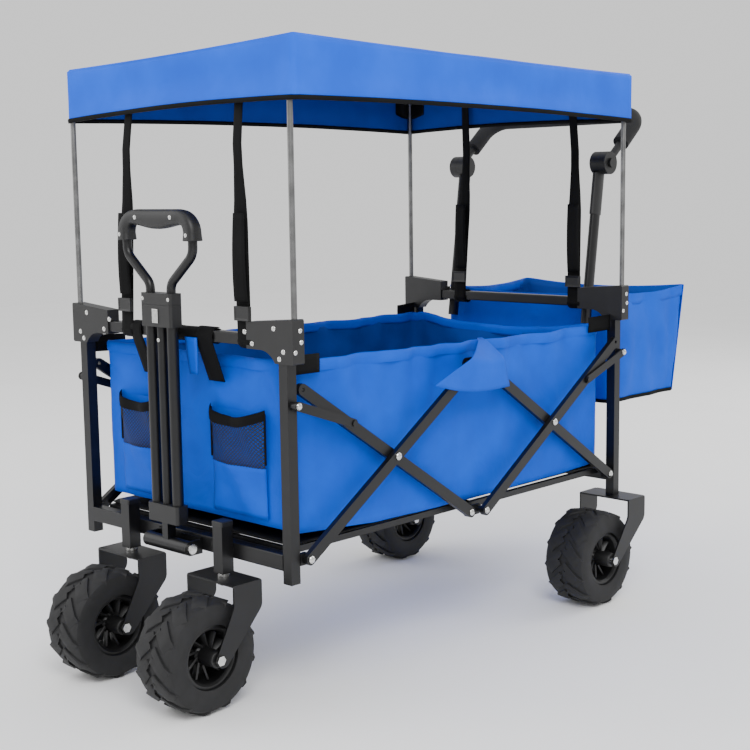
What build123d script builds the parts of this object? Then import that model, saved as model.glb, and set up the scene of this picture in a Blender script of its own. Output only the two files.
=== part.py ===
from build123d import *
import math
import os

# Folding beach cart with a canopy: two rigid end frames joined by scissor bars, four broad wheels,
# a cloth basket, a rear bag, a telescoping pull handle and a tilting push handle.
# Millimetres. +Z is up, the pull handle is at -Y, and left (+X) is the left hand of who pulls it.
# The origin is on the ground, in the middle of the cart's length and width.

os.makedirs("parts", exist_ok=True)

# ---- Driving dimensions -------------------------------------------------------------------------
post_spacing = 844.0        # front posts to rear posts, centre to centre
post_track = 500.0          # left posts to right posts
post_w = 18.0               # square tube of the end frames
tube_wall = 1.5
tube_edge_r = 2.0
post_top = 596.0
rail_z = 565.0              # top rails
rail_w = 18.0
wheel_r = 89.0
wheel_w = 88.0
rim_r = 50.0
axle_r = 5.0
fork_t = 3.0
fork_depth = 56.0
fork_inner = 106.0          # gap between the fork's two legs
fork_over = 18.0             # top of the forks above the tyres
fork_top = 2 * wheel_r + fork_over
fork_front_drop = 34.0      # straight part of a leg below its top, at the front and at the rear
fork_rear_drop = 42.0
fork_corner_r = (3, 3, 18, 12, 13, 16)    # round a leg's outline, from its top front corner
front_trail = 59.0          # axle forward of the swivel pin
rear_trail = 77.0           # axle forward of the rear post
axle_boss_r = 14.0
crossbar_h = 25.0
crossbar_d = 20.0
crossbar_z = 236.0
stem_w = 22.0
stem_x = 118.0
stem_top = 276.0
stem_base_t = 6.0
cap_over = 3.0              # stem cap wider than its stem
cap_h = 8.0
cap_edge_r = 2.0
pin_r = 3.0                 # linkage rivets
fit = 0.05                  # radial running clearance
gap = 0.3                   # clearance between faces that slide past each other

# Scissor linkage, seen from the side
bar_w = 18.0
bar_t = 9.0
layer_gap = 1.0
low_pivot_z = 240.0
bar_rise = 254.0            # low pivot to high pivot
pivot_inset = 22.0          # pivots inboard of the posts
hub_half = 14.0             # half the distance between a hub's two pins
link_t = 3.0
link_w = 14.0
link_share = 0.24           # where the link meets its bar, from the bar's upper end
link_post_z = 473.0
bracket_reach = 76.0        # how far the corner brackets reach along the rails from the posts
bracket_h = 62.0
bracket_gap = 1.5           # corner brackets clear of the bars' ends
bracket_cap = 4.0           # corner brackets above the posts' tops
bracket_fall = 8.0          # their upper edge lower at the rail than at the post
bracket_skin = 5.0
bracket_lip = 4.0           # below the top rail
bracket_edge_r = 3.0
socket_wall = 3.5           # outboard of the canopy pole
gusset_run = 30.0           # inner corner's curve along the rail
gusset_hollow = 9.0         # curve's middle, from the post
gusset_fall = 12.0          # curve's middle, below the top rail
head_r = 5.0                # rivet heads
head_t = 2.0
bush_r = 6.0
ear_t = 8.0
hub_t = 3.0

floor_tube = 10.0
floor_z = 246.0
floor_rail_x = 228.0
floor_inner_x = 75.0
floor_lap = 12.0            # how far the two halves pass each other at the middle

swivel_r = 6.0
swivel_tail = 14.0          # pin below the fork's top
race_h = 6.0                # bearing between the fork and the stem
race_over = 4.0             # its radius beyond the pin's
swivel_nut_over = 2.0
nut_r = 8.0
nut_t = 5.0
tyre_taper = 4.0            # tyre's wall, further in at the rim
tyre_shoulder_x = 8.0       # shoulder's chamfer, across and up the wall
tyre_shoulder_r = 10.0
tyre_edge_r = 6.0
rim_w = 72.0
rim_wall = 5.0
rim_dish = 8.0              # depth of the dish in each face
wheel_hub_r = 15.0
hub_w = 105.0

basket_half_w = 236.0
basket_low = 268.0
basket_rim = 526.0
basket_wall = 3.0
basket_edge_r = 20.0
basket_end_gap = 10.0       # cloth clear of the posts

canopy_half_w = 276.0
canopy_overhang = 8.0       # beyond the posts' centres
canopy_low = 900.0
canopy_valance = 89.0
canopy_crown = 12.0
canopy_wall = 2.0
canopy_edge_r = 8.0
pole_r = 4.5
pole_out = 17.0             # pole axis outboard of the post's axis
pole_foot_z = 548.0

bag_depth = 285.0
bag_slope = 41.0            # how far the bag's back comes in at its bottom
bag_half_w = 210.0
bag_low = 363.0
bag_top = 580.0
bag_wall = 3.0
bag_gap = 3.0               # bag behind the push handle's tubes
strap_w = 27.0
strap_t = 1.5
strap_right_x = -120.0      # the right straps sit further in on the top rails than the left ones

pull_y_out = 33.0           # pull handle's plane in front of the front posts
bracket_rise = 3.0          # bracket's back plate above the pivot
pull_pivot_z = 230.0
sleeve_r = 11.5
sleeve_len = 100.0
pull_neck_w = 14.0
pull_neck_d = 16.0
pull_bolt_r = 6.0
outer_tube_r = 9.0
inner_tube_r = 7.2
pull_tube_x = 26.0
block_wall = 3.0
block_floor = 5.0           # under the tubes' feet
block_seat = 4.0            # over the outer tubes' ends, and around the middle tube's
block_edge_r = 5.0
low_block_z = 266.0
low_block_h = 29.0
high_block_z = 577.0
high_block_h = 34.0
grip_half_w = 82.0
grip_z = 746.0
grip_r = 14.0
grip_drop = 36.0            # grip's legs below its bar
grip_bore = 14.0            # how far the yoke goes into the legs
grip_end_r = 2.0
grip_outer_r = 34.0
grip_edge_r = 4.0
yoke_foot_z = 300.0
yoke_neck = 14.0            # straight part above the collar
yoke_spread = 46.0          # height over which the yoke swells apart
yoke_bend_r = (20, 26)

centre_tube_r = 8.0
collar_h = 18.0
bracket_t = 4.0
button_w = 14.0
button_h = 22.0
button_deep = 5.0
button_sunk = 1.0
button_edge_r = 1.0
button_travel = 3.0

push_socket = 80.0
push_knuckle = 46.0
push_knuckle_back = 4.0     # knuckle's root behind the disc's edge
push_socket_over = 3.0      # plastic socket wider than its tube
push_seat = 2.0             # tube and arm let into the discs
push_pin_r = 5.0
push_button_r = 9.0
push_button_deep = 7.0
push_button_travel = 4.0
push_button_proud = 1.0
push_x = 178.0
push_lean = 8.0             # degrees rearward
push_tube_x = 8.0           # half width of the oval tube, along X
push_tube_y = 13.0
push_foot_z = 520.0
push_pivot_z = 830.0
push_disc_r = 22.0
push_disc_t = 17.0
push_arm_len = 150.0
push_arm_rise = 40.0        # degrees above level, rearward
push_bend_r = 40.0
foam_r = 16.0

# ---- Places worked out from them ------------------------------------------------------------------
post_x = post_track / 2
stem_out = crossbar_d / 2 + stem_w / 2
front_reach = stem_out + front_trail + wheel_r
lean = math.radians(push_lean)
bracket_half = pivot_inset - bar_w / 2 - bracket_gap    # half of a corner bracket along Y
bracket_foot = post_top - bracket_h
push_pivot_out = bracket_half + push_tube_y + gap + (push_pivot_z - bracket_foot) * math.tan(lean)
bag_front_out = push_pivot_out - (push_pivot_z - bag_top) * math.tan(lean) + push_tube_y + bag_gap
rear_reach = bag_front_out + bag_depth
front_y = -(front_reach + post_spacing + rear_reach) / 2 + front_reach
rear_y = front_y + post_spacing
mid_y = (front_y + rear_y) / 2
stem_y = front_y - stem_out
front_axle_y = stem_y - front_trail
rear_axle_y = rear_y - rear_trail
axle_z = wheel_r
bar_run = post_spacing / 2 - pivot_inset - hub_half
high_pivot_z = low_pivot_z + bar_rise
bar_len = math.hypot(bar_run, bar_rise)
inner_layer = post_x + 0.5                       # inboard face of the inner bars
outer_layer = inner_layer + bar_t + layer_gap    # inboard face of the outer bars
link_layer = outer_layer + bar_t + 2 * gap
pull_y = front_y - pull_y_out
push_pivot_y = rear_y + push_pivot_out
sides = {"left": 1, "right": -1}
ends = {"front": (front_y, 1), "rear": (rear_y, -1)}    # post line, and the way to the cart's middle


def save(piece, node):
    """Label a finished piece and write it."""
    piece.part.label = node
    export_step(piece.part, f"parts/{node}.step")


def across(x_a, x_b):
    """A plane facing +X at the lower of two X values, and the distance to the other."""
    return Plane.YZ.offset(min(x_a, x_b)), abs(x_b - x_a)


# ---- End frames -----------------------------------------------------------------------------------
def post_pair(node, y, bottom):
    """Left and right uprights of square tube."""
    with BuildPart() as uprights:
        with BuildSketch(Plane.XY.offset(bottom)):
            with Locations((post_x, y), (-post_x, y)):
                Rectangle(post_w, post_w)
                Rectangle(post_w - 2 * tube_wall, post_w - 2 * tube_wall, mode=Mode.SUBTRACT)
        extrude(amount=post_top - bottom)
    save(uprights, node)


def cross_tube(node, y, z, depth, height):
    """Rectangular tube between the two posts of one end frame."""
    half = post_x - post_w / 2
    with BuildPart() as tube:
        with BuildSketch(Plane.YZ.offset(-half)):
            with Locations((y, z)):
                RectangleRounded(depth, height, tube_edge_r)
                RectangleRounded(depth - 2 * tube_wall, height - 2 * tube_wall, tube_edge_r - tube_wall,
                                 mode=Mode.SUBTRACT)
        extrude(amount=2 * half)
    save(tube, node)


def bracket_pair(node, y):
    """Moulded gussets over the posts' tops and the rail's ends, with the canopy poles' sockets outboard."""
    top = post_top + bracket_cap
    foot = bracket_foot
    out = post_x + pole_out + pole_r + socket_wall
    web = post_x - post_w / 2 - bracket_skin
    reach = post_x - bracket_reach
    rail_low = rail_z - rail_w / 2
    lip = rail_low - bracket_lip
    with BuildPart() as bracket:
        with BuildSketch(Plane.XZ.offset(-y)):
            with BuildLine():
                Polyline((web, foot), (out, foot), (out, top), (reach, top - bracket_fall), (reach, lip),
                         (web - gusset_run, lip))
                ThreePointArc((web - gusset_run, lip), (web - gusset_hollow, rail_low - gusset_fall),
                              (web, foot))
            make_face()
        extrude(amount=bracket_half, both=True)
        edges_out = bracket.edges().filter_by(Axis.Y)
        fillet(edges_out.sort_by(Axis.X)[-2:], bracket_edge_r)
        with Locations((post_x, y, (foot + post_top) / 2)):
            Box(post_w, post_w, post_top - foot, mode=Mode.SUBTRACT)
        with Locations(((reach + post_x - post_w / 2) / 2, y, rail_z)):
            Box(post_x - post_w / 2 - reach, rail_w, rail_w, mode=Mode.SUBTRACT)
        with Locations((post_x + pole_out, y, (pole_foot_z + top) / 2 + 1)):
            Cylinder(pole_r + gap, top - pole_foot_z + 2, mode=Mode.SUBTRACT)
        mirror(about=Plane.YZ)
    save(bracket, node)


def rivet(side, y, z, steps):
    """Steps of one turned rivet along X: (radius, start, stop), added to the part in hand."""
    for radius, start, stop in steps:
        with Locations((side * (start + stop) / 2, y, z)):
            Cylinder(radius, stop - start, rotation=(0, 90, 0))


def frame_pivots(node, y, inward, layer):
    """On both posts of one end: the low pivot's ear with its rivet, and the upper link's bush."""
    ear_y = y + inward * post_w / 2
    link_head = link_layer + link_t + gap
    tip_y = y + inward * pivot_inset
    with BuildPart() as pivots:
        for side in sides.values():
            plane, width = across(side * (layer - gap - ear_t), side * (layer - gap))
            with BuildSketch(plane):
                with Locations((tip_y, low_pivot_z)):
                    Circle(bar_w / 2)
                with Locations(((ear_y + tip_y) / 2, low_pivot_z)):
                    Rectangle(abs(tip_y - ear_y), bar_w)
            extrude(amount=width)
            rivet(side, tip_y, low_pivot_z, ((pin_r, layer - gap, layer + bar_t + gap),
                                             (head_r, layer + bar_t + gap, layer + bar_t + gap + head_t)))
            rivet(side, y, link_post_z, ((bush_r, post_x + post_w / 2, link_layer - gap),
                                         (pin_r, link_layer - gap, link_layer + link_t + gap),
                                         (head_r, link_head, link_head + head_t)))
    save(pivots, node)


post_pair("front_posts", front_y, fork_top + 8)
post_pair("rear_posts", rear_y, fork_top)
for end, (y, inward) in ends.items():
    cross_tube(f"{end}_crossbar", y, crossbar_z, crossbar_d, crossbar_h)
    cross_tube(f"{end}_top_rail", y, rail_z, rail_w, rail_w)
    bracket_pair(f"{end}_brackets", y)
frame_pivots("front_pivots", front_y, 1, outer_layer)
frame_pivots("rear_pivots", rear_y, -1, inner_layer)


# ---- Scissor bars ---------------------------------------------------------------------------------
def bar_pair(node, layer, y_low, y_high, hole_r, pocket=True):
    """Two flat bars, left and right, from a low pivot to a high one, open on their hidden side."""
    middle = ((y_low + y_high) / 2, (low_pivot_z + high_pivot_z) / 2)
    angle = math.degrees(math.atan2(bar_rise, y_high - y_low))
    with BuildPart() as bars:
        for side in sides.values():
            plane, width = across(side * layer, side * (layer + bar_t))
            with BuildSketch(plane):
                with Locations(Location(middle, angle)):
                    SlotCenterToCenter(bar_len, bar_w)
                with Locations((y_low, low_pivot_z), middle, (y_high, high_pivot_z)):
                    Circle(hole_r, mode=Mode.SUBTRACT)
            extrude(amount=width)
            plane, width = across(side * (layer - 1), side * (layer + bar_t - tube_wall))
            with BuildSketch(plane):
                with Locations(Location(middle, angle)):
                    with Locations((-bar_len / 4, 0), (bar_len / 4, 0)):
                        Rectangle(bar_len / 2 - 4 * pin_r - bar_w, bar_w - 2 * tube_wall)
            extrude(amount=width, mode=Mode.SUBTRACT)
    save(bars, node)


def cross_rivets(node, y):
    """Rivet through the two bars where they cross, with a washer between them."""
    with BuildPart() as rivets:
        for side in sides.values():
            rivet(side, y, cross_z, ((pin_r, inner_layer - gap, outer_layer + bar_t + gap),
                                     (bush_r, inner_layer + bar_t + gap, outer_layer - gap),
                                     (head_r, inner_layer - gap - 1, inner_layer - gap),
                                     (head_r, outer_layer + bar_t + gap, outer_layer + bar_t + gap + head_t)))
    save(rivets, node)


def hub_pair(node, z, y_inner, y_outer):
    """Plates that join two bars' ends at the cart's middle: one pin to each bar."""
    plate_in = inner_layer - hub_t - gap
    with BuildPart() as hubs:
        for side in sides.values():
            plane, width = across(side * plate_in, side * (inner_layer - gap))
            with BuildSketch(plane):
                with Locations((mid_y, z)):
                    SlotCenterToCenter(2 * hub_half, bar_w)
            extrude(amount=width)
            rivet(side, y_inner, z, ((pin_r, inner_layer - gap, inner_layer + bar_t + gap),))
            rivet(side, y_outer, z, ((bush_r - 1, inner_layer - gap, outer_layer - gap),
                                     (pin_r, outer_layer - gap, outer_layer + bar_t + gap),
                                     (head_r, outer_layer + bar_t + gap, outer_layer + bar_t + gap + head_t)))
    save(hubs, node)


def link_pair(node, y, inward):
    """Short flat link from each post to its bar: pinned on the post, free at the bar's end."""
    tip_y = y + inward * (pivot_inset + link_share * bar_run)
    tip_z = high_pivot_z - link_share * bar_rise
    length = math.hypot(tip_y - y, tip_z - link_post_z)
    angle = math.degrees(math.atan2(tip_z - link_post_z, tip_y - y))
    with BuildPart() as links:
        for side in sides.values():
            plane, width = across(side * link_layer, side * (link_layer + link_t))
            with BuildSketch(plane):
                with Locations(Location(((y + tip_y) / 2, (link_post_z + tip_z) / 2), angle)):
                    SlotCenterToCenter(length, link_w)
                with Locations((y, link_post_z)):
                    Circle(pin_r + fit, mode=Mode.SUBTRACT)
            extrude(amount=width)
            rivet(side, tip_y, tip_z, ((head_r, link_layer + link_t, link_layer + link_t + head_t),))
    save(links, node)


front_pivot_y = front_y + pivot_inset
rear_pivot_y = rear_y - pivot_inset
hub_front_y = mid_y - hub_half
hub_rear_y = mid_y + hub_half
cross_z = (low_pivot_z + high_pivot_z) / 2
hole_r = pin_r + fit
bar_pair("front_lower_bars", outer_layer, front_pivot_y, hub_front_y, hole_r)
bar_pair("rear_lower_bars", inner_layer, rear_pivot_y, hub_rear_y, hole_r)
bar_pair("front_upper_bars", inner_layer, hub_front_y, front_pivot_y, hole_r)
bar_pair("rear_upper_bars", outer_layer, hub_rear_y, rear_pivot_y, hole_r)
hub_pair("top_hubs", high_pivot_z, hub_rear_y, hub_front_y)
hub_pair("bottom_hubs", low_pivot_z, hub_front_y, hub_rear_y)
cross_rivets("front_cross_rivets", (front_pivot_y + hub_front_y) / 2)
cross_rivets("rear_cross_rivets", (rear_pivot_y + hub_rear_y) / 2)
link_pair("front_links", front_y, 1)
link_pair("rear_links", rear_y, -1)


# ---- Folding floor frame --------------------------------------------------------------------------
def floor_half(node, y_hinge, inward, outer_x, inner_x, reach):
    """Half of the floor: a cross tube by the crossbar and four rails that run to the cart's middle."""
    tip_y = mid_y + inward * floor_lap
    with BuildPart() as floor:
        with Locations((0, y_hinge, floor_z)):
            Box(2 * reach, floor_tube, floor_tube)
        rail_xs = (outer_x, inner_x, -inner_x, -outer_x)
        with Locations(*[(x, (y_hinge + tip_y) / 2, floor_z) for x in rail_xs]):
            Box(floor_tube, abs(tip_y - y_hinge) + floor_tube, floor_tube)
    save(floor, node)


floor_y = {end: y + inward * (crossbar_d / 2 + floor_tube) for end, (y, inward) in ends.items()}
floor_half("front_floor_frame", floor_y["front"], 1, floor_rail_x - floor_tube / 2 - gap,
           floor_inner_x - floor_tube / 2 - gap, floor_rail_x - gap)
floor_half("rear_floor_frame", floor_y["rear"], -1, floor_rail_x + floor_tube / 2 + gap,
           floor_inner_x + floor_tube / 2 + gap, floor_rail_x + floor_tube + gap)


# ---- Forks, swivels and wheels --------------------------------------------------------------------
def fork(node, xs, y, trail, hole_r):
    """Bent steel plate: a flat top and two legs that sweep forward to the axle."""
    half = fork_depth / 2
    axle_y = y - trail
    with BuildPart() as fork_part:
        for x in xs:
            for start in (x - fork_inner / 2 - fork_t, x + fork_inner / 2):
                with BuildSketch(Plane.YZ.offset(start)):
                    with BuildLine():
                        FilletPolyline((y - half, fork_top), (y + half, fork_top),
                                       (y + half, fork_top - fork_rear_drop),
                                       (axle_y + axle_boss_r, axle_z - axle_boss_r),
                                       (axle_y - axle_boss_r, axle_z - axle_boss_r),
                                       (y - half, fork_top - fork_front_drop),
                                       radius=list(fork_corner_r), close=True)
                    make_face()
                    with Locations((axle_y, axle_z)):
                        Circle(axle_r, mode=Mode.SUBTRACT)
                extrude(amount=fork_t)
            with Locations((x, y, fork_top - fork_t / 2)):
                Box(fork_inner, fork_depth, fork_t)
            if hole_r:
                with Locations((x, y, fork_top - fork_t / 2)):
                    Cylinder(hole_r, 2 * fork_t, mode=Mode.SUBTRACT)
    save(fork_part, node)


def axle_bolts(node, xs, y):
    """Axle bolts, each with a head and a nut outside its fork."""
    half = fork_inner / 2 + fork_t
    with BuildPart() as bolts:
        for x in xs:
            with Locations((x, y, axle_z)):
                Cylinder(axle_r, 2 * half, rotation=(0, 90, 0))
            for start in (x - half - nut_t, x + half):
                with BuildSketch(Plane.YZ.offset(start)):
                    with Locations((y, axle_z)):
                        RegularPolygon(nut_r, 6)
                extrude(amount=nut_t)
    save(bolts, node)


def wheel(name, x, y):
    """Broad tyre on a dished plastic rim with a through hub."""
    half = wheel_w / 2
    with BuildPart() as tyre:
        with BuildSketch(Plane.XY.offset(axle_z)):
            with BuildLine():
                FilletPolyline((x - half + tyre_taper, y + rim_r), (x - half, y + wheel_r - tyre_shoulder_r),
                               (x - half + tyre_shoulder_x, y + wheel_r),
                               (x + half - tyre_shoulder_x, y + wheel_r),
                               (x + half, y + wheel_r - tyre_shoulder_r), (x + half - tyre_taper, y + rim_r),
                               radius=[0, tyre_edge_r, tyre_edge_r, tyre_edge_r, tyre_edge_r, 0], close=True)
            make_face()
        revolve(axis=Axis((x, y, axle_z), (1, 0, 0)))
    save(tyre, f"{name}_tyre")
    with BuildPart() as rim:
        with Locations((x, y, axle_z)):
            Cylinder(rim_r, rim_w, rotation=(0, 90, 0))
        with Locations((x - (rim_w - rim_dish) / 2, y, axle_z), (x + (rim_w - rim_dish) / 2, y, axle_z)):
            Cylinder(rim_r - rim_wall, rim_dish, rotation=(0, 90, 0), mode=Mode.SUBTRACT)
        with Locations((x, y, axle_z)):
            Cylinder(wheel_hub_r, hub_w, rotation=(0, 90, 0))
            Cylinder(axle_r + fit, hub_w, rotation=(0, 90, 0), mode=Mode.SUBTRACT)
    save(rim, f"{name}_rim")


for name, side in sides.items():
    fork(f"front_fork_{name}", [side * stem_x], stem_y, front_trail, swivel_r + fit)
    wheel(f"front_{name}", side * stem_x, front_axle_y)
    wheel(f"rear_{name}", side * post_x, rear_axle_y)
    axle_bolts(f"front_axle_{name}", [side * stem_x], front_axle_y)
fork("rear_forks", [post_x, -post_x], rear_y, rear_trail, 0)
axle_bolts("rear_axles", [post_x, -post_x], rear_axle_y)

stem_low = fork_top + race_h
stem_floor = stem_low + stem_base_t
with BuildPart() as caster_stems:
    with Locations((stem_x, stem_y, (stem_low + stem_top) / 2), (-stem_x, stem_y, (stem_low + stem_top) / 2)):
        Box(stem_w, stem_w, stem_top - stem_low)
    with Locations((stem_x, stem_y, (stem_floor + stem_top) / 2),
                   (-stem_x, stem_y, (stem_floor + stem_top) / 2)):
        Box(stem_w - 2 * tube_wall, stem_w - 2 * tube_wall, stem_top - stem_floor, mode=Mode.SUBTRACT)
    with Locations((stem_x, stem_y, stem_low), (-stem_x, stem_y, stem_low)):
        Cylinder(swivel_r, 3 * stem_base_t, mode=Mode.SUBTRACT)
save(caster_stems, "caster_stems")

with BuildPart() as stem_caps:
    with BuildSketch(Plane.XY.offset(stem_top)):
        with Locations((stem_x, stem_y), (-stem_x, stem_y)):
            RectangleRounded(stem_w + cap_over, stem_w + cap_over, cap_over)
    extrude(amount=cap_h)
    cap_tops = stem_caps.faces().sort_by(Axis.Z)[-2:]
    fillet(cap_tops[0].edges() + cap_tops[1].edges(), cap_edge_r)
save(stem_caps, "stem_caps")

half_sleeve = sleeve_len / 2
bolt_half = half_sleeve + gap + bracket_t
with BuildPart() as front_bolts:
    for side in sides.values():
        for radius, low, high in ((swivel_r, fork_top - swivel_tail, stem_floor),
                                  (swivel_r + race_over, fork_top + gap, stem_low),
                                  (swivel_r + swivel_nut_over, stem_floor, stem_floor + nut_t),
                                  (swivel_r + race_over, fork_top - 2 * race_h, fork_top - fork_t - gap)):
            with Locations((side * stem_x, stem_y, (low + high) / 2)):
                Cylinder(radius, high - low)
        with Locations((side * (bolt_half + nut_t / 2), pull_y, pull_pivot_z)):
            Cylinder(nut_r, nut_t, rotation=(0, 90, 0))
    with Locations((0, pull_y, pull_pivot_z)):
        Cylinder(pull_bolt_r, 2 * bolt_half, rotation=(0, 90, 0))
save(front_bolts, "front_bolts")


# ---- Pull handle ----------------------------------------------------------------------------------
with BuildPart() as handle_bracket:
    crossbar_face = front_y - crossbar_d / 2
    with Locations((0, crossbar_face - bracket_t / 2, pull_pivot_z + bracket_rise)):
        Box(2 * (half_sleeve + gap + bracket_t), bracket_t, 2 * sleeve_r)
    for side in sides.values():
        with BuildSketch(Plane.YZ.offset(side * (half_sleeve + gap + bracket_t / 2) - bracket_t / 2)):
            with Locations((pull_y, pull_pivot_z)):
                Circle(sleeve_r)
            with Locations(((pull_y + crossbar_face) / 2, pull_pivot_z)):
                Rectangle(crossbar_face - pull_y, 2 * sleeve_r)
            with Locations((pull_y, pull_pivot_z)):
                Circle(pull_bolt_r, mode=Mode.SUBTRACT)
        extrude(amount=bracket_t)
save(handle_bracket, "handle_bracket")

with BuildPart() as pull_foot:
    with Locations((0, pull_y, pull_pivot_z)):
        Cylinder(sleeve_r, sleeve_len, rotation=(0, 90, 0))
    with Locations((0, pull_y, (pull_pivot_z + low_block_z) / 2)):
        Box(pull_neck_w, pull_neck_d, low_block_z - pull_pivot_z)
    with Locations((0, pull_y, pull_pivot_z)):
        Cylinder(pull_bolt_r + fit, sleeve_len, rotation=(0, 90, 0), mode=Mode.SUBTRACT)
save(pull_foot, "pull_foot")

block_w = 2 * (pull_tube_x + outer_tube_r + block_wall)
block_d = 2 * (outer_tube_r + block_wall)
block_top = high_block_z + high_block_h
tube_foot = low_block_z + block_floor
tube_stop = block_top - block_seat
centre_stop = high_block_z + block_seat
with BuildPart() as pull_tubes:
    for x, radius, stop in ((pull_tube_x, outer_tube_r, tube_stop), (-pull_tube_x, outer_tube_r, tube_stop),
                            (0, centre_tube_r, centre_stop)):
        with BuildSketch(Plane.XY.offset(tube_foot)):
            with Locations((x, pull_y)):
                Circle(radius)
                Circle(radius - tube_wall, mode=Mode.SUBTRACT)
        extrude(amount=stop - tube_foot)
save(pull_tubes, "pull_tubes")

button_z = high_block_z + high_block_h / 2
with BuildPart() as pull_blocks:
    for z, height in ((low_block_z, low_block_h), (high_block_z, high_block_h)):
        with Locations((0, pull_y, z + height / 2)):
            Box(block_w, block_d, height)
    fillet(pull_blocks.edges().filter_by(Axis.Z), block_edge_r)
    with Locations((pull_tube_x, pull_y, (tube_foot + tube_stop) / 2),
                   (-pull_tube_x, pull_y, (tube_foot + tube_stop) / 2)):
        Cylinder(outer_tube_r, tube_stop - tube_foot, mode=Mode.SUBTRACT)
    with Locations((0, pull_y, (tube_foot + centre_stop) / 2)):
        Cylinder(centre_tube_r, centre_stop - tube_foot, mode=Mode.SUBTRACT)
    with Locations((pull_tube_x, pull_y, block_top), (-pull_tube_x, pull_y, block_top)):
        Cylinder(inner_tube_r + gap, high_block_h, mode=Mode.SUBTRACT)
    with Locations((0, pull_y - block_d / 2, button_z)):
        Box(button_w + 2 * gap, 2 * (button_travel + button_deep), button_h + 2 * gap, mode=Mode.SUBTRACT)
save(pull_blocks, "pull_blocks")

with BuildPart() as pull_button:
    with Locations((0, pull_y - block_d / 2 + button_deep / 2 - button_sunk, button_z)):
        Box(button_w, button_deep + 2 * button_sunk, button_h)
    fillet(pull_button.faces().sort_by(Axis.Y)[0].edges(), button_edge_r)
save(pull_button, "pull_button")

# The yoke: two thin tubes that slide in the outer ones, swell apart and meet the D-shaped grip.
yoke_neck_z = block_top + gap + collar_h
yoke_low_z = yoke_neck_z + yoke_neck
grip_foot_z = grip_z - grip_drop
with BuildPart() as pull_yoke:
    for side in sides.values():
        with BuildLine() as yoke_path:
            FilletPolyline((side * pull_tube_x, pull_y, yoke_foot_z),
                           (side * pull_tube_x, pull_y, yoke_low_z),
                           (side * grip_half_w, pull_y, yoke_low_z + yoke_spread),
                           (side * grip_half_w, pull_y, grip_foot_z + grip_bore), radius=list(yoke_bend_r))
        with BuildSketch(Plane(origin=(side * pull_tube_x, pull_y, yoke_foot_z), z_dir=(0, 0, 1))):
            Circle(inner_tube_r)
        sweep(path=yoke_path.wires()[0])
save(pull_yoke, "pull_yoke")

with BuildPart() as pull_collar:
    with Locations((0, pull_y, yoke_neck_z - collar_h / 2)):
        Box(block_w, block_d, collar_h)
    fillet(pull_collar.edges().filter_by(Axis.Z), block_edge_r)
    with Locations((pull_tube_x, pull_y, yoke_neck_z), (-pull_tube_x, pull_y, yoke_neck_z)):
        Cylinder(inner_tube_r, 3 * collar_h, mode=Mode.SUBTRACT)
save(pull_collar, "pull_collar")

grip_out = grip_half_w + grip_r
grip_in = grip_half_w - grip_r
with BuildPart() as pull_grip:
    with BuildSketch(Plane.XZ.offset(-pull_y)):
        with BuildLine():
            FilletPolyline((-grip_out, grip_foot_z), (-grip_out, grip_z + grip_r),
                           (grip_out, grip_z + grip_r), (grip_out, grip_foot_z),
                           (grip_in, grip_foot_z), (grip_in, grip_z - grip_r),
                           (-grip_in, grip_z - grip_r), (-grip_in, grip_foot_z),
                           radius=[grip_end_r, grip_outer_r, grip_outer_r, grip_end_r,
                                   grip_end_r, grip_r, grip_r, grip_end_r], close=True)
        make_face()
    extrude(amount=grip_r, both=True)
    fillet(pull_grip.faces().sort_by(Axis.Y)[0].edges(), grip_edge_r)
    fillet(pull_grip.faces().sort_by(Axis.Y)[-1].edges(), grip_edge_r)
    with Locations((grip_half_w, pull_y, grip_foot_z), (-grip_half_w, pull_y, grip_foot_z)):
        Cylinder(inner_tube_r, 2 * grip_bore, mode=Mode.SUBTRACT)
save(pull_grip, "pull_grip")


# ---- Push handle ----------------------------------------------------------------------------------
foot_y = push_pivot_y - (push_pivot_z - push_foot_z) * math.tan(lean)
up_tube = Vector(0, math.sin(lean), math.cos(lean))
fixed_x = push_x - push_disc_t - gap / 2        # fixed half of the hinge, inboard
moving_x = push_x + gap / 2                     # moving half, outboard
tube_len = (push_pivot_z - push_foot_z) / math.cos(lean) - push_disc_r + push_seat
tube_plane_x = fixed_x + push_disc_t / 2

with BuildPart() as push_posts:
    for side in sides.values():
        foot = Plane(origin=(side * tube_plane_x, foot_y, push_foot_z), x_dir=(1, 0, 0), z_dir=up_tube)
        with BuildSketch(foot):
            Ellipse(push_tube_x, push_tube_y)
            Ellipse(push_tube_x - tube_wall, push_tube_y - tube_wall, mode=Mode.SUBTRACT)
        extrude(amount=tube_len - push_socket)
save(push_posts, "push_posts")

socket_foot = Vector(0, foot_y, push_foot_z) + up_tube * (tube_len - push_socket)
with BuildPart() as push_sockets:
    for side in sides.values():
        foot = Plane(origin=(side * tube_plane_x, socket_foot.Y, socket_foot.Z), x_dir=(1, 0, 0),
                     z_dir=up_tube)
        with BuildSketch(foot):
            Ellipse(push_disc_t / 2 - gap, push_tube_y + push_socket_over)
        extrude(amount=push_socket)
        with Locations((side * (fixed_x + push_disc_t / 2), push_pivot_y, push_pivot_z)):
            Cylinder(push_disc_r, push_disc_t, rotation=(0, 90, 0))
        pin_len = gap + push_disc_t - push_button_deep
        with Locations((side * (moving_x - gap + pin_len / 2), push_pivot_y, push_pivot_z)):
            Cylinder(push_pin_r, pin_len, rotation=(0, 90, 0))
save(push_sockets, "push_sockets")

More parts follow.
